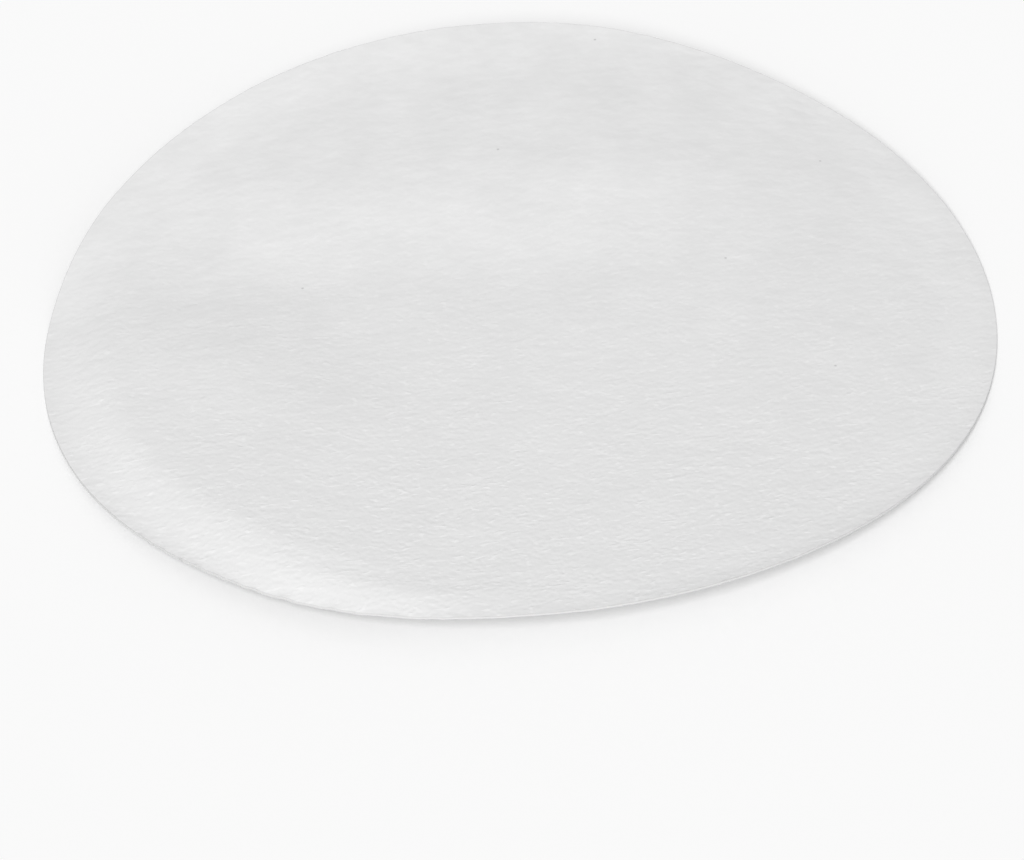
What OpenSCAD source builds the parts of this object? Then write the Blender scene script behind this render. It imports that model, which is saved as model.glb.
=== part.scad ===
// Round sheet of laboratory filter paper, lying loose on a table.
// The sheet is cut flat, but soft paper never lies quite flat. It arches from its left rim to its
// right one, on which it stands. Its left front swells up and falls to a rim that droops, its left
// back rises by a long low step, and two stretches of the rim curl up.
// Millimetres. The origin is on the table under the middle of the disc. X runs to the right,
// Y to the back and Z up. Directions are angles in degrees, counted from X towards Y.

/* [Sheet] */
// Diameter that the disc is cut to
disc_d = 90; // [70:1:150]
// Thickness of the paper
paper_t = 0.2; // [0.14:0.01:0.5]

/* [Arch] */
// Height of the arch's crown above the left and right rims
arch_h = 3.6; // [0:0.1:8]

/* [Swell] */
// Height of the swell above the arch
swell_h = 1.1; // [0:0.1:3]
// Direction in which the swell lies
swell_angle = 232; // [190:1:260]
// Distance from the middle to the foot of the swell
swell_start = 3; // [0:0.5:15]
// Length of the slope from the foot up to the swell
swell_run = 20; // [10:0.5:35]
// Length of the slope from the swell down to the rim
swell_rim_run = 7; // [4:0.5:20]
// Place along X at which the swell has died out
swell_end_x = -7; // [-20:0.5:20]
// Length over which the swell dies out
swell_end_run = 22; // [15:0.5:50]

/* [Rise] */
// Height of the step at the back
rise_h = 1.2; // [0:0.1:3]
// Distance behind the middle at which the step starts
rise_start_y = 5.5; // [0:0.5:15]
// Length of the slope up the step
rise_run = 18; // [8:0.5:30]
// Place along X at which the step has died out
rise_end_x = 32; // [10:0.5:45]
// Length over which the step dies out
rise_end_run = 26; // [15:0.5:50]

/* [Rim] */
// Depth by which the rim droops at the front left
droop_h = 0.6; // [0:0.1:2]
// Width of the band along the rim that droops
droop_run = 3.5; // [2.5:0.5:10]
// Direction of the droop
droop_angle = 246; // [225:1:265]
// Half of the angle that the droop takes up
droop_half_angle = 25; // [15:1:50]
// Width of the band along the rim that curls up
curl_run = 10; // [5:0.5:20]
// Height of the curl at the back left
back_curl_h = 0.7; // [0:0.1:3]
// Direction of the back left curl
back_curl_angle = 118; // [95:1:150]
// Half of the angle that the back left curl takes up
back_curl_half_angle = 56; // [25:1:80]
// Height of the curl at the front right
front_curl_h = 0.4; // [0:0.1:3]
// Direction of the front right curl
front_curl_angle = 304; // [290:1:340]
// Half of the angle that the front right curl takes up
front_curl_half_angle = 48; // [25:1:70]

/* [Hidden] */

// The faces of the sheet are rings of small triangles round a middle point
ring_count = 22;
rim_r = disc_d / 2;
ring_step = rim_r / ring_count;
face_points = 1 + 3 * ring_count * (ring_count + 1);

// Rises smoothly from 0 to 1 while u goes from 0 to run
function ramp(u, run) =
    let (t = max(0, min(1, u / run)))
    t * t * (3 - 2 * t);

// Smallest angle between two directions
function turn_between(a, b) = abs((a - b + 540) % 360 - 180);

// The arch is a parabola across the sheet
function arch(x) = arch_h * (1 - pow(x / rim_r, 2));

// The swell climbs from its foot, dies out to the right and falls to the rim
function swell(x, y, r) =
    let (
        ahead = x * cos(swell_angle) + y * sin(swell_angle),
        climb = ramp(ahead - swell_start, swell_run),
        side = ramp(swell_end_x - x, swell_end_run),
        rim_fall = ramp(r - rim_r + swell_rim_run, swell_rim_run)
    )
    swell_h * climb * side * (1 - rim_fall);

// The step runs along X and dies out to the right
function rise(x, y) =
    rise_h * ramp(y - rise_start_y, rise_run) * ramp(rise_end_x - x, rise_end_run);

// A curl lifts the rim most at one direction, and bends more and more towards the edge
function curl(height, run, angle, half_angle, r, direction) =
    let (
        out = max(0, r - rim_r + run) / run,
        along = ramp(half_angle - turn_between(direction, angle), half_angle)
    )
    height * out * out * along;

// Height of the sheet's underside
function sheet_z(x, y) =
    let (
        r = norm([x, y]),
        direction = atan2(y, x)
    )
    arch(x)
    + swell(x, y, r)
    + rise(x, y)
    + curl(back_curl_h, curl_run, back_curl_angle, back_curl_half_angle, r, direction)
    + curl(front_curl_h, curl_run, front_curl_angle, front_curl_half_angle, r, direction)
    - curl(droop_h, droop_run, droop_angle, droop_half_angle, r, direction);

// Ring i holds 6 * i points, and ring 0 is the middle point
function ring_start(i) = i == 0 ? 0 : 1 + 3 * i * (i - 1);
function ring_point(i, k) = i == 0 ? 0 : ring_start(i) + k % (6 * i);

sheet_points = [
    for (i = [0 : ring_count])
        for (k = [0 : max(0, 6 * i - 1)])
            let (
                direction = i == 0 ? 0 : 60 * k / i,
                x = ring_step * i * cos(direction),
                y = ring_step * i * sin(direction)
            )
            [x, y, sheet_z(x, y)]
];

// The lowest point of the sheet touches the table
lowest_z = min([for (p = sheet_points) p[2]]);

// Points of one face, each lifted above the underside by lift
function face(lift) = [for (p = sheet_points) p + [0, 0, lift - lowest_z]];

// Triangles between neighbouring rings, anticlockwise from above
function face_triangles() = [
    for (i = [1 : ring_count])
        for (sector = [0 : 5])
            for (j = [0 : i - 1])
                let (
                    inner = ring_point(i - 1, sector * (i - 1) + j),
                    next_inner = ring_point(i - 1, sector * (i - 1) + j + 1),
                    outer = ring_point(i, sector * i + j),
                    next_outer = ring_point(i, sector * i + j + 1)
                )
                each j < i - 1
                    ? [[inner, outer, next_outer], [inner, next_outer, next_inner]]
                    : [[inner, outer, next_outer]]
];

// Triangles of the cut edge, between the rims of the two faces
function edge_triangles() = [
    for (k = [0 : 6 * ring_count - 1])
        let (
            low = ring_point(ring_count, k),
            next_low = ring_point(ring_count, k + 1),
            high = low + face_points,
            next_high = next_low + face_points
        )
        each [[low, high, next_high], [low, next_high, next_low]]
];

module filter_disc() {
    underside = face_triangles();
    top = [for (t = underside) [t[2] + face_points, t[1] + face_points, t[0] + face_points]];
    color([0.90, 0.90, 0.89])
        polyhedron(
            points = concat(face(0), face(paper_t)),
            faces = concat(underside, top, edge_triangles()),
            convexity = 4
        );
}

filter_disc();
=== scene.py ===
import math

import bpy
from mathutils import Euler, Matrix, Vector


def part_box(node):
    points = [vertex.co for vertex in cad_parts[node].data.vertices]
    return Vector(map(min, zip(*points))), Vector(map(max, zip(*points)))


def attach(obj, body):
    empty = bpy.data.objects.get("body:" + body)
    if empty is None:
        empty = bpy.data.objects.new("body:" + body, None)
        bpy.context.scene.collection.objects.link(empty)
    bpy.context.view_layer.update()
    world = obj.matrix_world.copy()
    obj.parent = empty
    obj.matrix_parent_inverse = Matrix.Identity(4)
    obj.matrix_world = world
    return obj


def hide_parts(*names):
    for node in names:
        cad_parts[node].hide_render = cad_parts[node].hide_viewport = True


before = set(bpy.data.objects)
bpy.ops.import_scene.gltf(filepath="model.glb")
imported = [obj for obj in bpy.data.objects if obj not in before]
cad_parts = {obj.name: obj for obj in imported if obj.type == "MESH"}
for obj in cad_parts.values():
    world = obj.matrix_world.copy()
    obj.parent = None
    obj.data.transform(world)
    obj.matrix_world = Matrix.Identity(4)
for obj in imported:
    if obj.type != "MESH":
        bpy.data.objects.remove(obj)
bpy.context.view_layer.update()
print("frame loaded")

scene = bpy.context.scene
scene.view_settings.view_transform = "Standard"


def addObject(name, data):
    thing = bpy.data.objects.new(name, data)
    scene.collection.objects.link(thing)
    return thing


def addNode(tree, kind, inputs=None, **settings):
    node = tree.nodes.new(kind)
    for name, value in settings.items():
        setattr(node, name, value)
    for key, value in (inputs or {}).items():
        if isinstance(value, bpy.types.NodeSocket):
            tree.links.new(value, node.inputs[key])
        else:
            node.inputs[key].default_value = value
    return node


def calc(tree, operation, *values):
    return addNode(tree, "ShaderNodeMath", dict(enumerate(values)), operation=operation).outputs[0]


def product(tree, total, *factors):
    for factor in factors:
        total = calc(tree, "MULTIPLY", total, factor)
    return total


def ramp(tree, value, start, end):  # smooth rise from 0 at start to 1 at end
    return addNode(tree, "ShaderNodeMapRange", {
        "Value": value, "From Min": start, "From Max": end,
    }, interpolation_type="SMOOTHSTEP").outputs["Result"]


def lengthOf(tree, vector):
    return addNode(tree, "ShaderNodeVectorMath", {0: vector}, operation="LENGTH").outputs["Value"]


def splitXYZ(tree, vector):
    return addNode(tree, "ShaderNodeSeparateXYZ", {0: vector}).outputs


def joinXYZ(tree, **parts):
    return addNode(tree, "ShaderNodeCombineXYZ", parts).outputs[0]


def seenDirectly(tree):  # 1 where the camera, a mirror or glass looks, 0 for light that falls on things
    path = addNode(tree, "ShaderNodeLightPath").outputs
    seen = calc(tree, "MAXIMUM", path["Is Camera Ray"], path["Is Glossy Ray"])
    return calc(tree, "MAXIMUM", seen, path["Is Transmission Ray"])


# The sheet, in metres: arch, swell, rise, droop and curls are the solid's own, the rest is finer
sheet = {
    "thickness": 0.0002,
    "rows": 300,
    "columns": 160,
    "seam": 0.000001,  # points closer than this are one point
    "archHeight": 0.0036,
    "swellHeight": 0.0011,
    "swellAngle": math.radians(232),  # the direction in which the swell lies
    "swellStart": 0.003,
    "swellRun": 0.020,
    "swellRimRun": 0.007,
    "swellEndX": -0.007,
    "swellEndRun": 0.022,
    "riseHeight": 0.0012,
    "riseStartY": 0.0055,
    "riseRun": 0.018,
    "riseEndX": 0.032,
    "riseEndRun": 0.026,
    "droopHeight": -0.0006,  # down, where the others go up
    "droopRun": 0.0035,
    "droopAngle": math.radians(246),
    "droopHalfAngle": math.radians(25),
    "curlRun": 0.010,
    "backCurlHeight": 0.0007,
    "backCurlAngle": math.radians(118),
    "backCurlHalfAngle": math.radians(56),
    "frontCurlHeight": 0.0004,
    "frontCurlAngle": math.radians(304),
    "frontCurlHalfAngle": math.radians(48),
    "lipRun": 0.0025,  # the outermost rim turns up by less than the paper's thickness
    "backLipHeight": 0.00012,
    "backLipAngle": math.radians(72),
    "backLipHalfAngle": math.radians(45),
    "frontLipHeight": 0.0001,
    "frontLipAngle": math.radians(305),
    "frontLipHalfAngle": math.radians(50),
    "creaseHeight": 0.00012,  # a soft crease where the droop starts
    "creaseRun": 0.0025,
    "creaseInset": 0.003,
    "creaseAngle": math.radians(250),
    "creaseHalfAngle": math.radians(40),
    "burrHeight": 0.00012,  # ragged upturn that the cutter leaves at the very rim
    "burrRun": 0.0009,
    "burrSize": 0.0012,
    "burrFrom": 0.42,  # levels of the noise at which it starts and is full
    "burrFull": 0.68,
    "burrAngle": math.radians(241),
    "burrHalfAngle": math.radians(42),
    "lumpHeight": 0.00011,
    "lumpSize": 0.006,
    "crepeHeight": 0.00011,
    "crepePitch": 0.001,
    "crepeLength": 0.0014,
    "crepeSway": 0.0014,
    "crepeSwaySize": 1 / 240,
    "crepeTilt": 0.08,
    "crepeBow": 2.5,  # the crepe's lines bow towards the back at both sides
    "seed": 4.0,
}


def discGrid(tree, given):  # a square grid from -1 to 1, rounded into a disc
    grid = addNode(tree, "GeometryNodeMeshGrid", {
        "Size X": 2.0, "Size Y": 2.0,
        "Vertices X": given["columns"], "Vertices Y": given["rows"],
    }).outputs["Mesh"]
    square = splitXYZ(tree, addNode(tree, "GeometryNodeInputPosition").outputs[0])
    parts = {}
    for side, other in (("X", "Y"), ("Y", "X")):
        lost = product(tree, square[other], square[other], 0.5)
        squash = calc(tree, "SQRT", calc(tree, "SUBTRACT", 1.0, lost))
        parts[side] = product(tree, square[side], squash, given["rimR"])
    return addNode(tree, "GeometryNodeSetPosition", {
        "Geometry": grid, "Position": joinXYZ(tree, **parts),
    }).outputs[0]


def sheetForms(tree, given):  # what shapes the sheet, each form with the name of its height
    place = addNode(tree, "GeometryNodeInputPosition").outputs[0]
    flat = splitXYZ(tree, place)
    x, y = flat["X"], flat["Y"]
    r = lengthOf(tree, place)
    direction = calc(tree, "ARCTAN2", y, x)
    rimR = given["rimR"]

    # a low arch from the left rim to the right one
    across = calc(tree, "DIVIDE", x, rimR)
    arch = calc(tree, "SUBTRACT", 1.0, product(tree, across, across))
    forms = [(arch, "archHeight")]

    def dieOut(end, run):  # nothing is left on the right of end
        return ramp(tree, calc(tree, "SUBTRACT", given[end], x), 0.0, given[run])

    # a swell at the left front, which falls to the rim
    ahead = calc(tree, "ADD", product(tree, x, calc(tree, "COSINE", given["swellAngle"])),
                 product(tree, y, calc(tree, "SINE", given["swellAngle"])))
    climb = ramp(tree, calc(tree, "SUBTRACT", ahead, given["swellStart"]), 0.0, given["swellRun"])
    rimFall = ramp(tree, r, calc(tree, "SUBTRACT", rimR, given["swellRimRun"]), rimR)
    swell = product(tree, climb, dieOut("swellEndX", "swellEndRun"), calc(tree, "SUBTRACT", 1.0, rimFall))
    forms.append((swell, "swellHeight"))

    # a long low step up at the left back
    step = ramp(tree, calc(tree, "SUBTRACT", y, given["riseStartY"]), 0.0, given["riseRun"])
    forms.append((product(tree, step, dieOut("riseEndX", "riseEndRun")), "riseHeight"))

    def alongRim(stretch):  # 1 at the middle of a stretch of the rim, 0 at its ends
        turn = calc(tree, "SUBTRACT", direction, given[stretch + "Angle"])
        turn = calc(tree, "ABSOLUTE", calc(tree, "WRAP", turn, math.pi, -math.pi))
        halfAngle = given[stretch + "HalfAngle"]
        return ramp(tree, calc(tree, "SUBTRACT", halfAngle, turn), 0.0, halfAngle)

    def rimBend(stretch, run):  # bends more and more towards the edge
        inwards = calc(tree, "DIVIDE", calc(tree, "SUBTRACT", rimR, r), given[run])
        out = calc(tree, "MAXIMUM", calc(tree, "SUBTRACT", 1.0, inwards), 0.0)
        return product(tree, out, out, alongRim(stretch))

    # stretches of the rim: two curl up, one droops, and two end in a narrow lip
    bends = (
        ("backCurl", "curlRun"), ("frontCurl", "curlRun"), ("droop", "droopRun"),
        ("backLip", "lipRun"), ("frontLip", "lipRun"),
    )
    for stretch, run in bends:
        forms.append((rimBend(stretch, run), stretch + "Height"))

    def noise(vector, size=1.0):
        return addNode(tree, "ShaderNodeTexNoise", {
            "Vector": vector, "W": given["seed"], "Scale": calc(tree, "DIVIDE", 1.0, size), "Detail": 1.0,
        }, noise_dimensions="4D").outputs[0]

    def ripple(vector, size=1.0):  # noise about 0
        return calc(tree, "SUBTRACT", noise(vector, size), 0.5)

    # the crease and the burr
    creaseR = calc(tree, "SUBTRACT", rimR, given["creaseInset"])
    crease = ramp(tree, r, calc(tree, "SUBTRACT", creaseR, given["creaseRun"]), creaseR)
    forms.append((product(tree, crease, alongRim("crease")), "creaseHeight"))
    ragged = ramp(tree, noise(place, given["burrSize"]), given["burrFrom"], given["burrFull"])
    forms.append((product(tree, rimBend("burr", "burrRun"), ragged), "burrHeight"))

    # soft lumps, and a fine wavy crepe along X
    forms.append((ripple(place, given["lumpSize"]), "lumpHeight"))
    slope = calc(tree, "MULTIPLY_ADD", x, given["crepeBow"], given["crepeTilt"])
    straight = calc(tree, "SUBTRACT", y, product(tree, x, slope))
    lineY = calc(tree, "MULTIPLY_ADD", ripple(place, given["crepeSwaySize"]), given["crepeSway"], straight)
    threads = joinXYZ(tree, X=calc(tree, "DIVIDE", x, given["crepeLength"]),
                      Y=calc(tree, "DIVIDE", lineY, given["crepePitch"]))
    forms.append((ripple(threads), "crepeHeight"))
    return forms


def sheetTree(settings, material):
    tree = bpy.data.node_groups.new("paperSheet", "GeometryNodeTree")
    tree.interface.new_socket("Geometry", in_out="INPUT", socket_type="NodeSocketGeometry")
    tree.interface.new_socket("Geometry", in_out="OUTPUT", socket_type="NodeSocketGeometry")
    sockets = {}
    for name, value in settings.items():
        kind = "NodeSocketInt" if isinstance(value, int) else "NodeSocketFloat"
        sockets[name] = tree.interface.new_socket(name, in_out="INPUT", socket_type=kind).identifier
    given = addNode(tree, "NodeGroupInput").outputs

    # the top face
    height = given["thickness"]
    for form, size in sheetForms(tree, given):
        height = calc(tree, "MULTIPLY_ADD", form, given[size], height)
    face = addNode(tree, "GeometryNodeSetPosition", {
        "Geometry": discGrid(tree, given), "Offset": joinXYZ(tree, Z=height),
    }).outputs[0]

    # the cut edge and the underside
    wall = addNode(tree, "GeometryNodeExtrudeMesh", {
        "Mesh": face, "Offset": joinXYZ(tree, Z=-1.0),
        "Offset Scale": given["thickness"], "Individual": False,
    }, mode="FACES")
    under = addNode(tree, "GeometryNodeFlipFaces", {0: wall.outputs[0]})
    both = addNode(tree, "GeometryNodeJoinGeometry")
    tree.links.new(face, both.inputs[0])
    tree.links.new(under.outputs[0], both.inputs[0])
    closed = addNode(tree, "GeometryNodeMergeByDistance", {0: both.outputs[0], "Distance": given["seam"]})
    real = addNode(tree, "GeometryNodeRealizeInstances", {0: closed.outputs[0]})
    painted = addNode(tree, "GeometryNodeSetMaterial", {0: real.outputs[0], "Material": material})
    addNode(tree, "NodeGroupOutput", {0: painted.outputs[0]})
    return tree, sockets


# The paper: matte white, with fine waves and short pale fibres that lie along X, partly painted highlight;
# a paler ring of painted light near the rim, and painted shade on the cut edge
paper = {
    "colour": (0.82, 0.82, 0.82),
    "paintedRimLight": (0.835, 0.835, 0.835),  # painted light: a paler ring near the rim, where light comes through the thin paper
    "ringStart": 0.007,  # where the ring starts, is full, fades and ends, from the rim
    "ringFull": 0.0035,
    "ringFade": 0.0018,
    "ringEnd": 0.0003,
    "cloudDepth": 0.03,  # darker and lighter patches of the pulp
    "cloudSize": 0.006,
    "cloudAtBack": 2.7,  # how much stronger they are at the back
    "waveLength": 0.00062,
    "wavePitch": 0.00053,
    "waveHeight": 0.000048,
    "waveAtBack": 0.38,  # how much of it is left at the back, which is pressed smoother
    "fibreLength": 0.00042,
    "fibrePitch": 0.0004,
    "fibreHeight": 0.000033,
    "fibreAtBack": 0.1,
    "strandLength": 0.0008,  # single raised strands, paler than the pulp, with painted highlight where their sides catch the light
    "strandPitch": 0.00046,
    "strandHeight": 0.000017,
    "strandFrom": 0.1,  # levels of the noise at which a strand starts and is full
    "strandFull": 0.3,
    "strandPaleAndHighlight": (0.88, 0.88, 0.88),
    "patchSize": 0.003,  # the paper is rougher in patches
    "patchFrom": 0.35,
    "patchFull": 0.65,
    "patchLeast": 0.65,  # how much of the roughness is left between them
    "sway": 0.0006,
    "swaySize": 1 / 170,
    "fuzzHeight": 0.000004,
    "fuzzSize": 1 / 5200,
    "speckColour": (0.63, 0.63, 0.63),
    "speckSpacing": 0.010,
    "speckShare": 0.1,  # so many of the places hold a speck
    "speckSize": 0.00012,
    "speckBlur": 0.5,
    "paintedEdgeShade": (0.71, 0.71, 0.71),  # painted shade on the cut edge, where the fibre ends shadow each other
    "edgeDepth": 0.00006,
    "roughness": 0.92,
    "specular": 0.25,
}


def paperMaterial(rimR):
    material = bpy.data.materials.new("filterPaper")
    material.use_nodes = True
    tree = material.node_tree
    shader = tree.nodes["Principled BSDF"]
    place = addNode(tree, "ShaderNodeTexCoord").outputs["Object"]
    at = splitXYZ(tree, place)
    x, y = at["X"], at["Y"]

    def noise(vector, size=1.0, detail=0.0, roughness=0.5):
        return addNode(tree, "ShaderNodeTexNoise", {
            "Vector": vector, "Scale": 1.0 / size, "Detail": detail, "Roughness": roughness,
        }).outputs[0]

    def ripple(vector, size=1.0, **grain):  # noise about 0
        return calc(tree, "SUBTRACT", noise(vector, size, **grain), 0.5)

    def fade(atBack):  # from 1 at the front rim to atBack at the back one
        return calc(tree, "MULTIPLY_ADD", ramp(tree, y, rimR, -rimR), 1.0 - atBack, atBack)

    def blend(factor, a, b):
        ends = {"A": a, "B": b}
        for key, colour in ends.items():
            if not isinstance(colour, bpy.types.NodeSocket):
                ends[key] = (*colour, 1.0)
        node = addNode(tree, "ShaderNodeMix", {"Factor": factor, **ends}, data_type="RGBA")
        return node.outputs["Result"]

    # waves, fibres and strands lie on lines that sway, and bow like the crepe's
    slope = calc(tree, "MULTIPLY_ADD", x, sheet["crepeBow"], sheet["crepeTilt"])
    straight = calc(tree, "SUBTRACT", y, product(tree, x, slope))
    sway = ripple(place, paper["swaySize"], detail=1.0)
    lineY = calc(tree, "MULTIPLY_ADD", sway, paper["sway"], straight)

    def dashes(kind):
        return ripple(joinXYZ(tree, X=calc(tree, "DIVIDE", x, paper[kind + "Length"]),
                              Y=calc(tree, "DIVIDE", lineY, paper[kind + "Pitch"])))

    strands = ramp(tree, dashes("strand"), paper["strandFrom"], paper["strandFull"])
    rough = noise(place, paper["patchSize"], detail=1.0)
    patch = ramp(tree, rough, paper["patchFrom"], paper["patchFull"])
    patch = calc(tree, "MULTIPLY_ADD", patch, 1.0 - paper["patchLeast"], paper["patchLeast"])
    waveFade = product(tree, fade(paper["waveAtBack"]), patch)
    fibreFade = product(tree, fade(paper["fibreAtBack"]), patch)

    # colour: cloudy pulp, and painted light in a paler ring near the rim, where light comes through the
    # thin paper
    cloud = ripple(place, paper["cloudSize"], detail=3.0, roughness=0.7)
    cloud = calc(tree, "MULTIPLY_ADD", cloud, fade(paper["cloudAtBack"]), 0.5)

    def pulp(colour):
        dull = [c * (1.0 - paper["cloudDepth"]) for c in colour]
        pale = [c * (1.0 + paper["cloudDepth"]) for c in colour]
        return blend(cloud, dull, pale)

    r = lengthOf(tree, joinXYZ(tree, X=x, Y=y))
    # painted light: a ring near the rim, paler than the pulp
    ring = product(tree, ramp(tree, r, rimR - paper["ringStart"], rimR - paper["ringFull"]),
                   ramp(tree, r, rimR - paper["ringEnd"], rimR - paper["ringFade"]))
    colour = blend(ring, pulp(paper["colour"]), pulp(paper["paintedRimLight"]))

    # then pale strands with painted highlight, a few dark specks, and painted shade on the cut edge
    colour = blend(product(tree, strands, fibreFade), colour, paper["strandPaleAndHighlight"])
    cells = addNode(tree, "ShaderNodeTexVoronoi", {
        "Vector": place, "Scale": 1.0 / paper["speckSpacing"],
    }, voronoi_dimensions="2D").outputs
    size = paper["speckSize"] / paper["speckSpacing"]
    blur = size * paper["speckBlur"]
    spot = ramp(tree, cells["Distance"], size + blur, size - blur)
    chance = addNode(tree, "ShaderNodeSeparateColor", {0: cells["Color"]}).outputs[0]
    chosen = calc(tree, "GREATER_THAN", chance, 1.0 - paper["speckShare"])
    colour = blend(product(tree, spot, chosen), colour, paper["speckColour"])
    # painted shade on the cut edge
    edge = calc(tree, "GREATER_THAN", r, rimR - paper["edgeDepth"])
    colour = blend(edge, colour, paper["paintedEdgeShade"])
    tree.links.new(colour, shader.inputs["Base Color"])

    # relief too fine for the mesh: waves, fibres, strands and fuzz
    relief = product(tree, dashes("wave"), paper["waveHeight"], waveFade)
    fine = product(tree, dashes("fibre"), paper["fibreHeight"])
    fine = calc(tree, "MULTIPLY_ADD", strands, paper["strandHeight"], fine)
    fuzz = noise(place, paper["fuzzSize"], detail=2.0, roughness=0.6)
    fine = calc(tree, "MULTIPLY_ADD", fuzz, paper["fuzzHeight"], fine)
    relief = calc(tree, "MULTIPLY_ADD", fine, fibreFade, relief)
    bump = addNode(tree, "ShaderNodeBump", {"Height": relief, "Strength": 1.0, "Distance": 1.0})
    tree.links.new(bump.outputs["Normal"], shader.inputs["Normal"])
    shader.inputs["Roughness"].default_value = paper["roughness"]
    shader.inputs["Specular IOR Level"].default_value = paper["specular"]
    return material


def makeSheet():
    low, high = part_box("filter_disc")
    settings = dict(rimR=(high[0] - low[0]) / 2, **sheet)
    tree, sockets = sheetTree(settings, paperMaterial(settings["rimR"]))
    blank = addObject("sheetBlank", bpy.data.meshes.new("sheetBlank"))
    modifier = blank.modifiers.new("sheet", "NODES")
    modifier.node_group = tree
    for name, value in settings.items():
        modifier[sockets[name]] = value
    shape = bpy.data.meshes.new_from_object(blank.evaluated_get(bpy.context.evaluated_depsgraph_get()))
    bpy.data.objects.remove(blank)
    shape.shade_smooth()
    shape.set_sharp_from_angle(angle=math.radians(45))  # the cut edge stays crisp
    return addObject("paper_sheet", shape)


paperSheet = makeSheet()
print("sheet made:", len(paperSheet.data.polygons), "faces")

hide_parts("filter_disc")
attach(paperSheet, "root")

# The floor: pale, just under the sheet's lowest point
floorLook = {
    "size": 4.0,
    "gap": 0.00001,
    "colour": (0.82, 0.82, 0.82),
    "glow": 0.2,  # makes it white to the eye and adds no light
}


def makeFloor(piece):
    half = floorLook["size"] / 2
    z = min(v.co.z for v in piece.data.vertices) - floorLook["gap"]
    corners = [(-half, -half, z), (half, -half, z), (half, half, z), (-half, half, z)]
    mesh = bpy.data.meshes.new("floor")
    mesh.from_pydata(corners, [], [(0, 1, 2, 3)])
    floor = addObject("floor", mesh)
    material = bpy.data.materials.new("paleFloor")
    material.use_nodes = True
    tree = material.node_tree
    shader = tree.nodes["Principled BSDF"]
    shader.inputs["Base Color"].default_value = (*floorLook["colour"], 1.0)
    shader.inputs["Roughness"].default_value = 1.0
    shader.inputs["Specular IOR Level"].default_value = 0.0
    shader.inputs["Emission Color"].default_value = (1, 1, 1, 1)
    glow = product(tree, seenDirectly(tree), floorLook["glow"])
    tree.links.new(glow, shader.inputs["Emission Strength"])
    mesh.materials.append(material)


makeFloor(paperSheet)
print("floor made")


def outwards(elevation, azimuth):  # from the sheet towards a lamp or the camera, azimuth 0 to the front
    level = math.cos(elevation)
    return Vector((math.sin(azimuth) * level, -math.cos(azimuth) * level, math.sin(elevation)))


# Light: a broad soft key from the front left and an even white sky
studio = {
    "skyStrength": 0.464,
    "keyStrength": 2.224,
    "keySpread": math.radians(24),
    "keyElevation": math.radians(40),
    "keyAzimuth": math.radians(-8),
}


def makeLight():
    world = bpy.data.worlds.new("studio")
    scene.world = world
    world.use_nodes = True
    tree = world.node_tree
    sky = tree.nodes["Background"]
    sky.inputs["Color"].default_value = (1, 1, 1, 1)
    strength = calc(tree, "MAXIMUM", seenDirectly(tree), studio["skyStrength"])
    tree.links.new(strength, sky.inputs["Strength"])
    lamp = bpy.data.lights.new("key", "SUN")
    lamp.energy = studio["keyStrength"]
    lamp.angle = studio["keySpread"]
    key = addObject("key", lamp)
    towards = -outwards(studio["keyElevation"], studio["keyAzimuth"])
    key.rotation_euler = towards.to_track_quat("-Z", "Y").to_euler()


makeLight()
print("light made")

# Camera: a long lens, so that the disc has the photograph's outline
viewpoint = {
    "lens": 335.4,
    "sensor": 36.0,
    "distance": 0.8898,
    "elevation": math.radians(37.96),
    "azimuth": math.radians(0.0),
    "roll": math.radians(-3.36),
    "aim": (-0.00118, -0.01272, 0.0),
}


def makeCamera():
    lens = bpy.data.cameras.new("camera")
    lens.lens = viewpoint["lens"]
    lens.sensor_width = viewpoint["sensor"]
    lens.clip_start = 0.01
    camera = addObject("camera", lens)
    back = outwards(viewpoint["elevation"], viewpoint["azimuth"])
    camera.location = Vector(viewpoint["aim"]) + back * viewpoint["distance"]
    facing = (-back).to_track_quat("-Z", "Y")
    camera.rotation_mode = "QUATERNION"
    camera.rotation_quaternion = facing @ Euler((0, 0, viewpoint["roll"])).to_quaternion()
    scene.camera = camera


makeCamera()
print("camera made")
